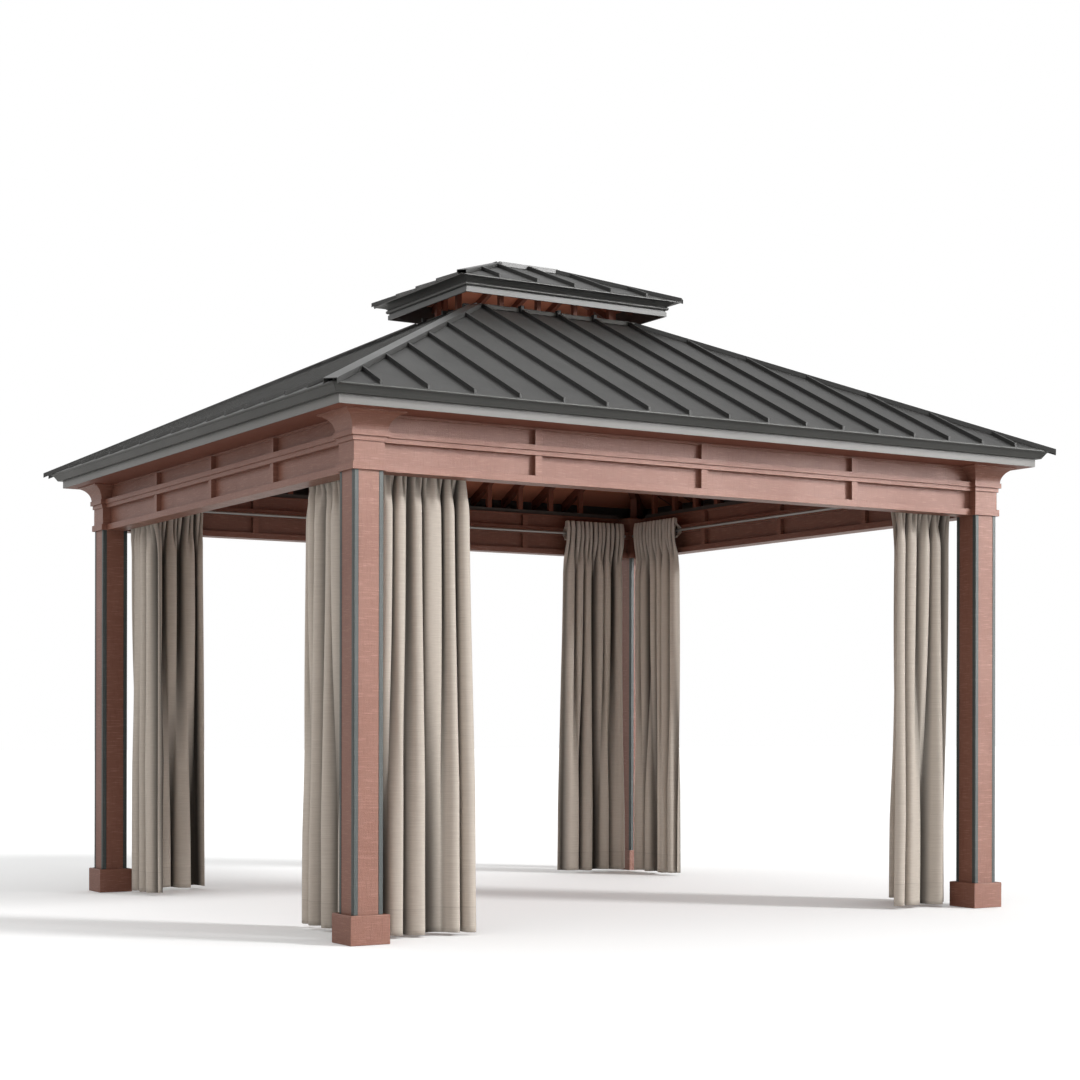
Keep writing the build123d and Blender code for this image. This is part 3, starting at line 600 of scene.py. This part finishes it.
# Painted shade: the cloth's colour goes towards a dark brown down in the folds' valleys, by the value on
# each curtain's mesh
cloth = mixed_colour(tree, valley_shade_fac.outputs["Fac"], cloth, painted_valley_colour)
tree.links.new(cloth, shader.inputs["Base Color"])
raised = arithmetic(tree, "MULTIPLY_ADD", hem, 0.3, threads.outputs["Height"])
raised = arithmetic(tree, "MULTIPLY_ADD", seam, -0.6, raised)
bump = tree.nodes.new("ShaderNodeBump")
bump.inputs["Strength"].default_value = 0.5
bump.inputs["Distance"].default_value = 0.001
tree.links.new(raised, bump.inputs["Height"])
tree.links.new(bump.outputs["Normal"], shader.inputs["Normal"])
shader.inputs["Roughness"].default_value = 0.85
shader.inputs["Specular IOR Level"].default_value = 0.25
shader.inputs["Sheen Weight"].default_value = 0.35
shader.inputs["Sheen Roughness"].default_value = 0.4
through = tree.nodes.new("ShaderNodeBsdfTranslucent")
tree.links.new(cloth, through.inputs["Color"])
thin = tree.nodes.new("ShaderNodeMixShader")
thin.inputs[0].default_value = light_through
tree.links.new(shader.outputs[0], thin.inputs[1])
tree.links.new(through.outputs[0], thin.inputs[2])
tree.links.new(thin.outputs[0], tree.nodes["Material Output"].inputs["Surface"])

# Hanging: each curtain fills its solid's box, narrowest at the top and held towards its post, and
# turns its good side to the front or to the left
curtain_names = [
    "front_left",
    "front_right",
    "right_front",
    "right_back",
    "back_right",
    "back_left",
    "left_back",
    "left_front",
]
for number, name in enumerate(curtain_names):
    low, high = (np.array(corner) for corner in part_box(f"curtain_{name}"))
    middle, size = (low + high) / 2.0, high - low
    long_axis = 0 if size[0] > size[1] else 1
    foot_width = size[long_axis] - side_margin
    x, y, z, flat_x, flat_y, valley_shade = gathered_cloth(
        seed=11 + number,
        lean=np.sign(middle[long_axis]) * (1 if long_axis == 0 else -1),
        top_width=foot_width - top_narrowing,
        foot_width=foot_width,
        drop=size[2],
        frill=high[2] - rail_level,
        flat_width=foot_width * fullness,
        folds=[round(foot_width / pitch) for pitch in fold_pitches],
        depth_limits=(deepest_above, size[1 - long_axis] / 2.0 - deepest_margin),
    )
    if long_axis == 0:
        x, y = middle[0] + x, middle[1] - y
    else:
        x, y = middle[0] - y, middle[1] - x
    curtain = cloth_object(f"curtain_cloth_{name}", x, y, high[2] + z, flat_x, flat_y, valley_shade)
    curtain.data.materials.append(linen)
    thick = curtain.modifiers.new("cloth", "SOLIDIFY")
    thick.thickness = cloth_thickness
    thick.offset = 0.0
    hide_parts(f"curtain_{name}")
    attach(curtain, "root")
